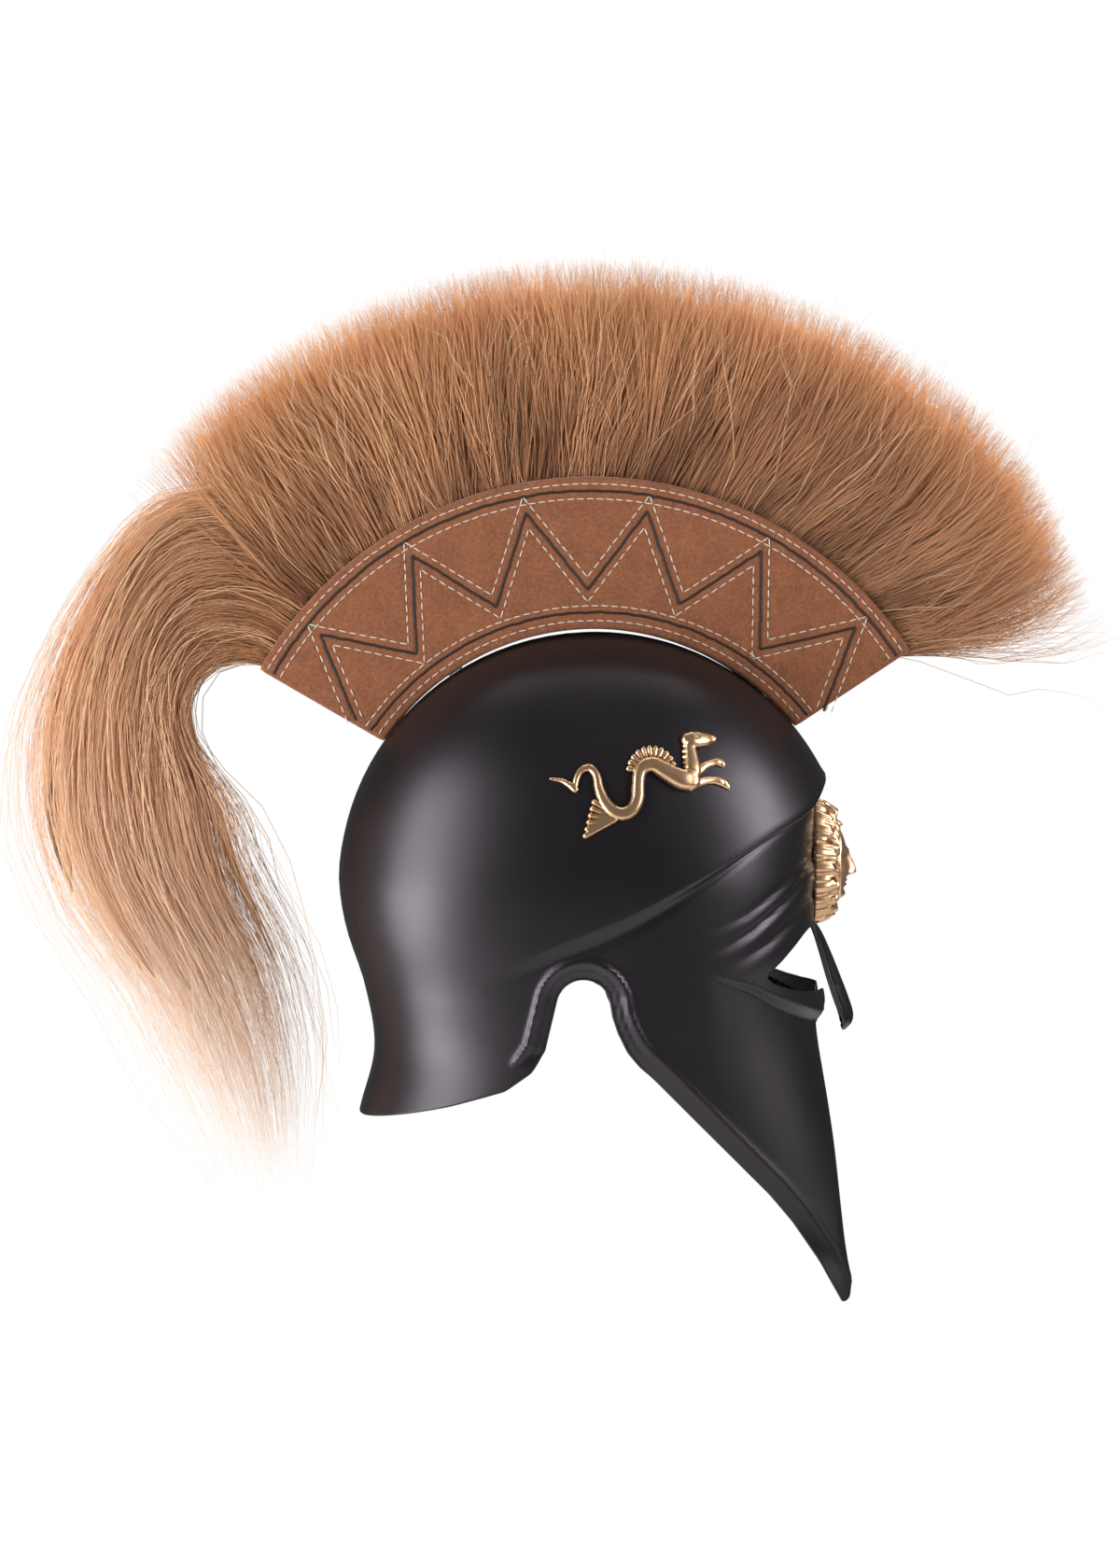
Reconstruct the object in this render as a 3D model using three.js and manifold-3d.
// A Corinthian helmet with an arched hair crest, in millimetres. +X is the front, +Z is up and +Y is
// the wearer's left. The origin is the inside of the crown, where the helmet sits on a head.

import * as THREE from 'three';
import { mergeVertices } from 'three/addons/utils/BufferGeometryUtils.js';
import Module from 'manifold-3d';

// ---------------------------------------------------------------- driving dimensions

const WALL = 1.8; // sheet steel with its paint
const GAP = 0.3; // kept between pieces that touch
const ROUNDNESS = 2.3; // exponent of the superellipse sections

// The skull is a bowl that is a circle seen from the side.
const BOWL = { level: -127.4, rise: 129.2, front: 131, back: 131.3, half: 94 };

// Level sections of the shell under the bowl, from the middle of the bowl: how far they reach to
// the front and the back, and their half widths in front and behind.
const SECTIONS = [
  { z: -100.0, front: 112.7, back: 131.3, frontHalf: 94.0, backHalf: 94.0 },
  { z: -127.4, front: 112.7, back: 131.3, frontHalf: 94.0, backHalf: 94.0 },
  { z: -150.0, front: 112.7, back: 127.6, frontHalf: 92.0, backHalf: 92.0 },
  { z: -180.0, front: 118.2, back: 118.0, frontHalf: 89.0, backHalf: 88.0 },
  { z: -212.0, front: 122.4, back: 113.5, frontHalf: 86.0, backHalf: 85.5 },
  { z: -247.0, front: 128.7, back: 121.8, frontHalf: 83.0, backHalf: 90.0 },
  { z: -290.0, front: 138.2, back: 126.0, frontHalf: 80.0, backHalf: 92.0 },
  { z: -345.0, front: 155.0, back: 126.0, frontHalf: 78.0, backHalf: 92.0 },
];

// The edge of the skull over the forehead plate, seen from the side. It starts at the peak, and it
// fades out over the ear.
const BROW_LINE = [
  { x: -131.0, z: -196.0, height: 8.0 },
  { x: -51.3, z: -164.0, height: 8.5 },
  { x: -20.8, z: -150.7, height: 9.0 },
  { x: 15.2, z: -136.1, height: 9.5 },
  { x: 51.5, z: -117.0, height: 10.5 },
  { x: 85.6, z: -98.1, height: 8.0 },
  { x: 108.6, z: -85.0, height: 7.0 },
  { x: 118.2, z: -69.5, height: 14.0 },
];
const BROW_DEPTH = 1.8;

// The lower outline of the shell seen from the side, from the cheek's tip back to the neck.
const CHEEK_EDGE = [
  { x: 180.0, z: -326.0 },
  { x: 130.7, z: -333.8 },
  { x: 124.9, z: -335.5 },
  { x: 112.7, z: -313.9 },
  { x: 98.5, z: -293.6 },
  { x: 86.5, z: -279.2 },
  { x: 28.9, z: -220.3 },
  { x: 14.7, z: -205.0 },
  { x: 9.4, z: -193.6 },
];
const EAR_NOTCH = { x: -7.8, z: -182.2, radius: 14.0, fromDegrees: -8, toDegrees: 170 };
const NECK_EDGE = [
  { x: -23.7, z: -188.9 },
  { x: -27.3, z: -204.3 },
  { x: -34.1, z: -215.0 },
  { x: -46.7, z: -223.8 },
  { x: -74.3, z: -232.3 },
  { x: -93.0, z: -236.9 },
  { x: -122.0, z: -243.6 },
  { x: -160.0, z: -252.0 },
];

// Half of the gap between the cheek plates, which widens on the way down.
const FACE_GAP = { top: -174.0, bottom: -360.0, topHalf: 18.0, slope: 0.17 };

// The eye opening seen from the side, from its back corner along the brow and back over the lid.
const EYE = [
  { x: 82.9, z: -169.5 },
  { x: 92.0, z: -161.9 },
  { x: 104.9, z: -149.8 },
  { x: 108.2, z: -147.6 },
  { x: 160.0, z: -145.5 },
  { x: 160.0, z: -181.0 },
  { x: 110.6, z: -180.5 },
  { x: 104.2, z: -179.5 },
  { x: 96.2, z: -177.4 },
  { x: 87.7, z: -174.2 },
];

// The nasal, from its root in the forehead plate down to its rounded tip.
const NASAL = [
  { z: -138.0, x: 111.2, half: 15.0, crown: 1.0 },
  { z: -146.5, x: 112.6, half: 11.0, crown: 1.5 },
  { z: -155.0, x: 115.4, half: 8.4, crown: 2.5 },
  { z: -165.0, x: 118.4, half: 8.0, crown: 3.5 },
  { z: -176.0, x: 121.6, half: 8.6, crown: 4.5 },
  { z: -187.0, x: 125.2, half: 9.6, crown: 5.0 },
  { z: -195.5, x: 128.2, half: 9.2, crown: 4.6 },
  { z: -200.5, x: 129.0, half: 6.8, crown: 3.0 },
  { z: -203.0, x: 128.8, half: 3.0, crown: 1.0 },
];
const NASAL_THICKNESS = 2.4;

// The crest turns about a centre of its own, a little over the centre of the bowl.
const CREST = {
  x: -2.3,
  z: -113.8,
  panelRadius: 194.4,
  panelInside: { x: -0.35, z: -126.4, radius: 129.5 },
  panelStart: 33,
  panelEnd: 150.3,
  halfGap: 12,
  panelThickness: 3,
  backingRadius: 152,
  hairStart: 31,
  hairEnd: 134,
  hairLocks: 26,
};

// Half sections of the standing hair: its distance from the crest's centre, and half its thickness.
const HAIR_SECTION = [
  { radius: 152, half: 11.7 },
  { radius: 197, half: 11.7 },
  { radius: 216, half: 14.0 },
  { radius: 248, half: 18.0 },
  { radius: 280, half: 21.0 },
  { radius: 296, half: 17.0 },
  { radius: 303, half: 8.0 },
];

// The falling hair: its outer and inner edges seen from the side, and half its thickness.
const TAIL = [
  { outerX: -108, outerZ: -12, innerX: -129, innerZ: -41, half: 11.7 },
  { outerX: -139, outerZ: 23, innerX: -170, innerZ: -16, half: 11.7 },
  { outerX: -168, outerZ: 51, innerX: -181, innerZ: -14, half: 14 },
  { outerX: -207, outerZ: 90, innerX: -192, innerZ: -16, half: 17 },
  { outerX: -224, outerZ: 68, innerX: -200, innerZ: -20, half: 19 },
  { outerX: -238, outerZ: 45, innerX: -206, innerZ: -28, half: 20 },
  { outerX: -254, outerZ: 20, innerX: -208, innerZ: -38, half: 20 },
  { outerX: -275, outerZ: -14, innerX: -205, innerZ: -52, half: 20 },
  { outerX: -286, outerZ: -54, innerX: -195, innerZ: -70, half: 20 },
  { outerX: -285, outerZ: -86, innerX: -189, innerZ: -92, half: 20 },
  { outerX: -277, outerZ: -114, innerX: -184, innerZ: -117, half: 19 },
  { outerX: -261, outerZ: -142, innerX: -174, innerZ: -141, half: 18 },
  { outerX: -245, outerZ: -168, innerX: -161, innerZ: -163, half: 17 },
  { outerX: -228, outerZ: -196, innerX: -154, innerZ: -188, half: 15 },
  { outerX: -214, outerZ: -213, innerX: -154, innerZ: -208, half: 13 },
  { outerX: -195, outerZ: -234, innerX: -157, innerZ: -230, half: 10 },
  { outerX: -171, outerZ: -276, innerX: -167, innerZ: -274, half: 4 },
];

const POST = { radius: 4, frontAngle: 44, rearAngle: 126 };

// The mask is a relief on the forehead plate, leaning with its brow back.
const MASK = { z: -116.2, halfHeight: 32.4, halfWidth: 23, rows: 27, columns: 20 };

// The dragon lies on the skull. Its limbs are drawn flat, in the side view, and then laid on it.
const DRAGON_LIMBS = {
  tail_tip: [
    { x: -23.9, z: -70.4, half: 0.5 },
    { x: -18.7, z: -71.1, half: 1.0 },
    { x: -14.9, z: -73.0, half: 1.4 },
    { x: -11.9, z: -75.4, half: 1.5 },
  ],
  body: [
    { x: -12.2, z: -75.4, half: 1.3 },
    { x: -11.2, z: -70.2, half: 1.5 },
    { x: -8.9, z: -66.4, half: 1.6 },
    { x: -4.9, z: -65.0, half: 1.8 },
    { x: -1.6, z: -68.3, half: 2.0 },
    { x: -0.1, z: -75.2, half: 2.4 },
    { x: 2.3, z: -81.1, half: 2.8 },
    { x: 6.5, z: -85.8, half: 3.1 },
    { x: 11.5, z: -87.3, half: 3.3 },
    { x: 16.1, z: -85.0, half: 3.3 },
    { x: 18.5, z: -79.8, half: 3.2 },
    { x: 18.9, z: -73.7, half: 3.1 },
    { x: 19.6, z: -68.2, half: 3.2 },
    { x: 22.2, z: -64.5, half: 3.5 },
    { x: 26.6, z: -63.7, half: 3.7 },
    { x: 31.0, z: -66.0, half: 4.0 },
    { x: 36.0, z: -68.8, half: 4.4 },
    { x: 41.0, z: -71.2, half: 4.8 },
    { x: 45.0, z: -72.0, half: 4.4 },
  ],
  neck: [
    { x: 43.6, z: -72.0, half: 4.2 },
    { x: 45.0, z: -66.5, half: 4.3 },
    { x: 44.7, z: -61.2, half: 3.6 },
    { x: 44.2, z: -56.3, half: 3.3 },
    { x: 44.4, z: -52.4, half: 3.0 },
  ],
  head: [
    { x: 43.6, z: -51.6, half: 3.0 },
    { x: 46.3, z: -52.2, half: 4.0 },
    { x: 51.2, z: -52.1, half: 3.3 },
    { x: 54.8, z: -51.6, half: 2.2 },
    { x: 57.6, z: -51.4, half: 1.4 },
  ],
  upper_leg: [
    { x: 46.5, z: -69.0, half: 2.8 },
    { x: 51.3, z: -65.0, half: 2.1 },
    { x: 55.3, z: -63.2, half: 1.6 },
    { x: 58.9, z: -62.6, half: 1.7 },
    { x: 61.2, z: -63.9, half: 1.5 },
  ],
  lower_leg: [
    { x: 44.8, z: -73.6, half: 3.2 },
    { x: 50.5, z: -72.0, half: 2.1 },
    { x: 55.9, z: -71.4, half: 1.7 },
    { x: 60.5, z: -72.4, half: 1.7 },
    { x: 63.8, z: -74.8, half: 1.2 },
  ],
};
const DRAGON_RISE = 1.35; // height of a limb over the skull, as a share of its half width
const TAIL_FIN = [
  { x: -2.4, z: -82.0 },
  { x: -4.9, z: -91.5 },
  { x: -7.4, z: -98.4 },
  { x: 0.4, z: -95.2 },
  { x: 10.5, z: -91.0 },
  { x: 11.1, z: -86.0 },
  { x: 2.6, z: -80.0 },
];
const DORSAL_FIN = { x: 25.6, z: -66.4, radius: 12.0, fromDegrees: 22, toDegrees: 168, lobes: 11, lobe: 1.9 };
const FIN_HEIGHT = 1.6;

const COLOURS = {
  steel: 0x1c191b,
  brass: 0xc99b66,
  suede: 0xa5673f,
  hair: 0xb98251,
  pin: 0x2a2728,
};

// ---------------------------------------------------------------- solids

const wasm = await Module();
wasm.setup();

const radians = THREE.MathUtils.degToRad;

function toSolid(geometry) {
  const bare = geometry.clone();
  bare.deleteAttribute('normal');
  bare.deleteAttribute('uv');
  const merged = mergeVertices(bare, 1e-4);
  return new wasm.Manifold(new wasm.Mesh({
    numProp: 3,
    vertProperties: new Float32Array(merged.attributes.position.array),
    triVerts: new Uint32Array(merged.index.array),
  }));
}

function toGeometry(solid) {
  const mesh = solid.getMesh();
  const geometry = new THREE.BufferGeometry();
  geometry.setAttribute('position', new THREE.BufferAttribute(new Float32Array(mesh.vertProperties), 3));
  geometry.setIndex(new THREE.BufferAttribute(new Uint32Array(mesh.triVerts), 1));
  geometry.computeVertexNormals();
  return geometry;
}

function signedVolume(points, faces) {
  return faces.reduce((sum, [a, b, c]) => sum + points[a].dot(points[b].clone().cross(points[c])) / 6, 0);
}

// A closed solid through rings of points, with a fan of triangles over each end.
function loft(rings) {
  const count = rings[0].length;
  const points = rings.flat();
  const faces = [];
  for (let ring = 0; ring + 1 < rings.length; ring += 1) {
    for (let i = 0; i < count; i += 1) {
      const next = (i + 1) % count;
      const low = ring * count;
      const high = low + count;
      faces.push([low + i, low + next, high + next]);
      faces.push([low + i, high + next, high + i]);
    }
  }
  const addCap = (start, ring, flip) => {
    const middle = new THREE.Vector3();
    ring.forEach((point) => middle.addScaledVector(point, 1 / count));
    points.push(middle);
    for (let i = 0; i < count; i += 1) {
      const edge = [start + i, start + ((i + 1) % count)];
      faces.push(flip ? [edge[1], edge[0], points.length - 1] : [edge[0], edge[1], points.length - 1]);
    }
  };
  addCap(0, rings[0], true);
  addCap((rings.length - 1) * count, rings[rings.length - 1], false);
  if (signedVolume(points, faces) < 0) faces.forEach((face) => face.reverse());
  const geometry = new THREE.BufferGeometry().setFromPoints(points);
  geometry.setIndex(faces.flat());
  return toSolid(geometry);
}

// A smooth value from a table whose rows have rising or falling keys.
function smoothValue(rows, key, at, column) {
  const order = rows[0][key] < rows[rows.length - 1][key] ? rows : [...rows].reverse();
  const value = THREE.MathUtils.clamp(at, order[0][key], order[order.length - 1][key]);
  let i = 0;
  while (i < order.length - 2 && value > order[i + 1][key]) i += 1;
  const slope = (j) => {
    const before = order[Math.max(j - 1, 0)];
    const after = order[Math.min(j + 1, order.length - 1)];
    return (after[column] - before[column]) / (after[key] - before[key]);
  };
  const width = order[i + 1][key] - order[i][key];
  const t = (value - order[i][key]) / width;
  return (2 * t ** 3 - 3 * t ** 2 + 1) * order[i][column]
    + (t ** 3 - 2 * t ** 2 + t) * width * slope(i)
    + (3 * t ** 2 - 2 * t ** 3) * order[i + 1][column]
    + (t ** 3 - t ** 2) * width * slope(i + 1);
}

// A flat outline (x, z) given a depth along Y, from near to far.
function extrudeAcross(outline, near, far) {
  const isShape = outline instanceof THREE.Shape;
  const shape = isShape ? outline : new THREE.Shape(outline.map(({ x, z }) => new THREE.Vector2(x, z)));
  const geometry = new THREE.ExtrudeGeometry(shape, { depth: far - near, bevelEnabled: false, curveSegments: 10 });
  geometry.rotateX(Math.PI / 2);
  geometry.translate(0, far, 0);
  return toSolid(geometry);
}

// ---------------------------------------------------------------- helmet shell

function bowlScale(z, inset) {
  return z > BOWL.level ? Math.sqrt(Math.max(0, 1 - ((z - BOWL.level) / (BOWL.rise - inset)) ** 2)) : 1;
}

// A point of the shell's face at an angle round it (0 is the front). "under" is 0 on the skull and 1
// on the forehead plate, which lies deeper. "inset" moves the face inwards from the outer one.
function shellPoint(angle, z, under, inset) {
  const cosine = Math.cos(angle);
  const sine = Math.sin(angle);
  const scale = bowlScale(z, inset);
  const forward = THREE.MathUtils.smoothstep(cosine, -0.45, 0.45);
  const section = (column) => smoothValue(SECTIONS, 'z', z, column);
  const half = THREE.MathUtils.lerp(section('backHalf'), section('frontHalf'), forward);
  const skullFront = (BOWL.front - inset) * scale;
  const frontReach = THREE.MathUtils.lerp(skullFront, section('front') - inset, under);
  const reach = cosine > 0 ? frontReach : (section('back') - inset) * scale;
  const width = (half - inset) * scale - under * forward * BROW_DEPTH;
  const bulge = (value) => Math.sign(value) * Math.abs(value) ** (2 / ROUNDNESS);
  return new THREE.Vector3(reach * bulge(cosine), width * bulge(sine), z);
}

// How high the skull's edge over the forehead plate is at an angle round the shell.
function browLevel(angle) {
  let z = -90;
  for (let turn = 0; turn < 24; turn += 1) {
    const edge = smoothValue(BROW_LINE, 'x', shellPoint(angle, z, 0, 0).x, 'z');
    z = THREE.MathUtils.lerp(z, edge, 0.5);
  }
  return z;
}

// The whole closed form inside one face of the shell, before its openings are cut.
function shellForm({ inset, columns, skullRows, lowerRows, bottom }) {
  const edges = Array.from({ length: columns }, (_, i) => {
    const angle = (2 * Math.PI * i) / columns;
    const level = browLevel(angle);
    const height = smoothValue(BROW_LINE, 'x', shellPoint(angle, level, 0, 0).x, 'height');
    return { angle, level, foot: level - height };
  });
  const rise = BOWL.rise - inset;
  const rings = [];
  for (let row = 0; row < skullRows; row += 1) {
    const share = (row + 0.5) / (skullRows - 0.5);
    rings.push(edges.map(({ angle, level }) => {
      const lowest = Math.acos(THREE.MathUtils.clamp((level - BOWL.level) / rise, -0.6, 1));
      const z = BOWL.level + rise * Math.cos(lowest * share);
      return shellPoint(angle, z, 0, inset);
    }));
  }
  for (let row = 0; row <= lowerRows; row += 1) {
    rings.push(edges.map(({ angle, foot }) => {
      const z = THREE.MathUtils.lerp(foot, bottom, row / lowerRows);
      return shellPoint(angle, z, 1, inset);
    }));
  }
  return loft(rings);
}

function shellOutline() {
  const outline = new THREE.Shape();
  outline.moveTo(180, 40);
  CHEEK_EDGE.forEach(({ x, z }) => outline.lineTo(x, z));
  const { x, z, radius, fromDegrees, toDegrees } = EAR_NOTCH;
  outline.absarc(x, z, radius, radians(fromDegrees), radians(toDegrees), false);
  NECK_EDGE.forEach((point) => outline.lineTo(point.x, point.z));
  outline.lineTo(-160, 40);
  return outline;
}

function faceGap() {
  const { top, bottom, topHalf, slope } = FACE_GAP;
  const bottomHalf = topHalf + slope * (top - bottom);
  const corners = [[-topHalf, top], [-bottomHalf, bottom], [bottomHalf, bottom], [topHalf, top]];
  const shape = new THREE.Shape(corners.map(([y, z]) => new THREE.Vector2(y, z)));
  const geometry = new THREE.ExtrudeGeometry(shape, { depth: 140, bevelEnabled: false });
  const across = new THREE.Vector3(0, 1, 0);
  const up = new THREE.Vector3(0, 0, 1);
  geometry.applyMatrix4(new THREE.Matrix4().makeBasis(across, up, new THREE.Vector3(1, 0, 0)));
  geometry.translate(60, 0, 0);
  return toSolid(geometry);
}

function nasal(clearance) {
  const steps = [-1, -0.62, 0, 0.62, 1];
  const rings = NASAL.map(({ z, x, half, crown }) => {
    const front = steps.map((t) => new THREE.Vector3(x + clearance + crown * (1 - t * t), half * t, z));
    const back = [...steps].reverse()
      .map((t) => new THREE.Vector3(x + crown * (1 - t * t) - NASAL_THICKNESS, half * t, z));
    return [...front, ...back];
  });
  return loft(rings);
}

const SHELL_GRID = { columns: 56, skullRows: 13, lowerRows: 10, bottom: -345 };
const outerForm = shellForm({ inset: 0, ...SHELL_GRID });
const clearanceForm = shellForm({ inset: -GAP, ...SHELL_GRID });

function helmetShell() {
  const innerForm = shellForm({ inset: WALL, columns: 56, skullRows: 11, lowerRows: 8, bottom: -352 });
  return outerForm
    .subtract(innerForm)
    .intersect(extrudeAcross(shellOutline(), -120, 120))
    .subtract(extrudeAcross(EYE, -120, 120))
    .subtract(faceGap())
    .add(nasal(0));
}

// ---------------------------------------------------------------- cast brass

// Height of the mask over its base, with "across" and "up" from -1 to 1 over its whole outline.
function maskRelief(across, up) {
  const side = Math.abs(across);
  const bump = (x, z, width, height, amount) => {
    return amount * Math.exp(-(((side - x) / width) ** 2) - (((up - z) / height) ** 2));
  };
  const oval = Math.hypot(across / 0.66, (up + 0.02) / 0.72);
  const head = 13 * Math.sqrt(Math.max(0, 1 - (oval / 1.25) ** 2));
  const hair = 7.5 * Math.sqrt(Math.max(0, 1 - Math.hypot(across, up) ** 4));
  const locks = 1.3 * Math.sin(Math.atan2(up, across) * 18) * THREE.MathUtils.smoothstep(oval, 0.95, 1.25);
  const nose = bump(0, -0.02, 0.13, 0.17, 3.4) + bump(0, -0.13, 0.14, 0.07, 2.6);
  const brow = bump(0.26, 0.17, 0.24, 0.06, 1.4);
  const eyes = bump(0.27, 0.05, 0.13, 0.07, -2.2) + bump(0.27, 0.05, 0.07, 0.03, 1.1);
  const mouth = bump(0.05, -0.3, 0.18, 0.04, 1.1) + bump(0, -0.38, 0.14, 0.04, 1.0);
  const chin = bump(0, -0.54, 0.2, 0.09, 2.2);
  const fringe = bump(0.2, 0.5, 0.4, 0.12, 3.2);
  return Math.max(head, hair + locks) + nose + brow + eyes + mouth + chin + fringe;
}

function browMask() {
  const { z, halfHeight, halfWidth, rows, columns } = MASK;
  const rings = [];
  for (let row = 0; row <= rows; row += 1) {
    const up = -0.985 + (1.97 * row) / rows;
    const widest = Math.sqrt(1 - up * up) ** 0.8;
    const level = z + halfHeight * up;
    const base = 110.5;
    const ring = [];
    for (let i = 0; i <= columns; i += 1) {
      const across = (-1 + (2 * i) / columns) * widest;
      const edge = Math.sqrt(Math.max(0, 1 - (across / widest) ** 2)) ** 0.4;
      const rise = 5.5 + (maskRelief(across, up) - 2) * edge;
      ring.push(new THREE.Vector3(base + rise, across * halfWidth, level));
    }
    ring.push(new THREE.Vector3(base - 6, widest * halfWidth, level));
    ring.push(new THREE.Vector3(base - 6, -widest * halfWidth, level));
    rings.push(ring);
  }
  return loft(rings).subtract(clearanceForm).subtract(nasal(GAP));
}

// A limb drawn flat: a row of half-round rings that follow its middle line, sunk a little at the back.
function limb(rows) {
  const rings = rows.map(({ x, z, half }, i) => {
    const before = rows[Math.max(i - 1, 0)];
    const after = rows[Math.min(i + 1, rows.length - 1)];
    const along = new THREE.Vector2(after.x - before.x, after.z - before.z).normalize();
    const ring = [];
    for (let step = 0; step <= 6; step += 1) {
      const turn = (Math.PI * step) / 6;
      const side = half * Math.cos(turn);
      const rise = half * DRAGON_RISE * Math.sin(turn);
      ring.push(new THREE.Vector3(x - along.y * side, rise, z + along.x * side));
    }
    const last = ring[ring.length - 1];
    ring.push(new THREE.Vector3(last.x, -3, last.z));
    ring.push(new THREE.Vector3(ring[0].x, -3, ring[0].z));
    return ring;
  });
  return loft(rings);
}

function dorsalFin() {
  const { x, z, radius, fromDegrees, toDegrees, lobes, lobe } = DORSAL_FIN;
  const outline = new THREE.Shape();
  outline.moveTo(x, z);
  for (let i = 0; i < lobes; i += 1) {
    const turn = radians(THREE.MathUtils.lerp(fromDegrees, toDegrees, i / (lobes - 1)));
    for (const spread of [-0.8, 0, 0.8]) {
      const angle = turn + (spread * lobe) / radius;
      const reach = spread === 0 ? radius : radius - lobe * 0.8;
      outline.lineTo(x + reach * Math.cos(angle), z + reach * Math.sin(angle) * 0.98);
    }
  }
  return extrudeAcross(outline, -3, FIN_HEIGHT);
}

// The skull's outer face at a place in the side view: the point on it and the way out of it.
function skullSurface(x, z) {
  const halfAt = (px, pz) => {
    const scale = bowlScale(pz, 0);
    const reach = (px > 0 ? BOWL.front : BOWL.back) * scale;
    const share = Math.min(1, Math.abs(px) / reach) ** ROUNDNESS;
    return BOWL.half * scale * (1 - share) ** (1 / ROUNDNESS);
  };
  const step = 0.5;
  const slopeX = (halfAt(x + step, z) - halfAt(x - step, z)) / (2 * step);
  const slopeZ = (halfAt(x, z + step) - halfAt(x, z - step)) / (2 * step);
  return { point: new THREE.Vector3(x, halfAt(x, z), z), out: new THREE.Vector3(-slopeX, 1, -slopeZ).normalize() };
}

// The dragon is joined flat, laid on the left side of the skull, and turned over for the right.
function seaDragon(side) {
  let flat = extrudeAcross(TAIL_FIN, -3, FIN_HEIGHT).add(dorsalFin());
  Object.values(DRAGON_LIMBS).forEach((rows) => {
    flat = flat.add(limb(rows));
  });
  const laid = flat.warp((point) => {
    const { point: foot, out } = skullSurface(point[0], point[2]);
    foot.addScaledVector(out, point[1] + GAP);
    [point[0], point[1], point[2]] = foot.toArray();
  });
  const turned = side < 0 ? laid.mirror([0, 1, 0]) : laid;
  return turned.subtract(clearanceForm);
}

// ---------------------------------------------------------------- crest

function crestPoint(radius, degrees, y) {
  const angle = radians(degrees);
  return new THREE.Vector3(CREST.x + radius * Math.cos(angle), y, CREST.z + radius * Math.sin(angle));
}

// The angle round a second centre of the ray from the crest's centre, where it crosses that circle.
function angleOnInside(degrees) {
  const { x, z, radius } = CREST.panelInside;
  const ray = new THREE.Vector2(Math.cos(radians(degrees)), Math.sin(radians(degrees)));
  const offset = new THREE.Vector2(CREST.x - x, CREST.z - z);
  const along = offset.dot(ray);
  const reach = -along + Math.sqrt(along ** 2 - offset.lengthSq() + radius ** 2);
  return Math.atan2(offset.y + reach * ray.y, offset.x + reach * ray.x);
}

function crestPanel(side) {
  const { x, z, panelRadius, panelInside, panelStart, panelEnd, halfGap, panelThickness } = CREST;
  const outline = new THREE.Shape();
  outline.absarc(x, z, panelRadius, radians(panelStart), radians(panelEnd), false);
  outline.absarc(panelInside.x, panelInside.z, panelInside.radius, angleOnInside(panelEnd), angleOnInside(panelStart), true);
  const near = side > 0 ? halfGap : -halfGap - panelThickness;
  return extrudeAcross(outline, near, near + panelThickness);
}

function crestHair() {
  const { hairStart, hairEnd, hairLocks } = CREST;
  const rings = [];
  for (let i = 0; i <= 2 * hairLocks; i += 1) {
    const degrees = THREE.MathUtils.lerp(hairStart, hairEnd, i / (2 * hairLocks));
    const groove = i % 2 === 0 ? 0.94 : 1.06;
    const place = ({ radius, half }, side) => {
      const free = radius > 200;
      const reach = free ? 200 + (radius - 200) * (i % 2 === 0 ? 0.985 : 1) : radius;
      return crestPoint(reach, degrees, side * half * (free ? groove : 1));
    };
    const right = HAIR_SECTION.map((row) => place(row, -1));
    const left = [...HAIR_SECTION].reverse().map((row) => place(row, 1));
    rings.push([...right, ...left]);
  }
  return loft(rings);
}

function crestTail() {
  const sides = 14;
  const rings = TAIL.map(({ outerX, outerZ, innerX, innerZ, half }, row) => {
    const ring = [];
    for (let i = 0; i < sides; i += 1) {
      const turn = (2 * Math.PI * i) / sides;
      const squared = row < 2 ? 0.35 : 0.8;
      const along = Math.sign(Math.cos(turn)) * Math.abs(Math.cos(turn)) ** squared;
      const across = Math.sign(Math.sin(turn)) * Math.abs(Math.sin(turn)) ** squared;
      const groove = row > 2 && i % 2 === 0 ? 0.9 : 1;
      const share = 0.5 + 0.5 * along;
      ring.push(new THREE.Vector3(
        THREE.MathUtils.lerp(innerX, outerX, share),
        half * across * groove,
        THREE.MathUtils.lerp(innerZ, outerZ, share),
      ));
    }
    return ring;
  });
  return loft(rings);
}

// A plain pin from the skull up to the backing of the hair.
function crestPost(degrees) {
  const length = CREST.backingRadius - GAP - 100;
  const pin = new THREE.CylinderGeometry(POST.radius, POST.radius, length, 16);
  pin.rotateX(Math.PI / 2);
  pin.translate(0, 0, 100 + length / 2);
  pin.rotateY(radians(90 - degrees));
  pin.translate(CREST.x, 0, CREST.z);
  return toSolid(pin).subtract(clearanceForm);
}

// ---------------------------------------------------------------- assembly

const finishes = {
  steel: { color: COLOURS.steel, roughness: 0.4, metalness: 0.3 },
  brass: { color: COLOURS.brass, roughness: 0.3, metalness: 1 },
  suede: { color: COLOURS.suede, roughness: 0.95, metalness: 0 },
  hair: { color: COLOURS.hair, roughness: 0.7, metalness: 0 },
  pin: { color: COLOURS.pin, roughness: 0.5, metalness: 0.6 },
};

const helmet = new THREE.Group();

function addPiece(name, solid, finish) {
  const mesh = new THREE.Mesh(toGeometry(solid), new THREE.MeshStandardMaterial(finishes[finish]));
  mesh.name = name;
  helmet.add(mesh);
}

addPiece('helmet_shell', helmetShell(), 'steel');
addPiece('brow_mask', browMask(), 'brass');
addPiece('sea_dragon_right', seaDragon(-1), 'brass');
addPiece('sea_dragon_left', seaDragon(1), 'brass');
addPiece('crest_panel_right', crestPanel(-1), 'suede');
addPiece('crest_panel_left', crestPanel(1), 'suede');
addPiece('crest_hair', crestHair(), 'hair');
addPiece('crest_tail', crestTail(), 'hair');
addPiece('crest_post_front', crestPost(POST.frontAngle), 'pin');
addPiece('crest_post_rear', crestPost(POST.rearAngle), 'pin');

export default helmet;
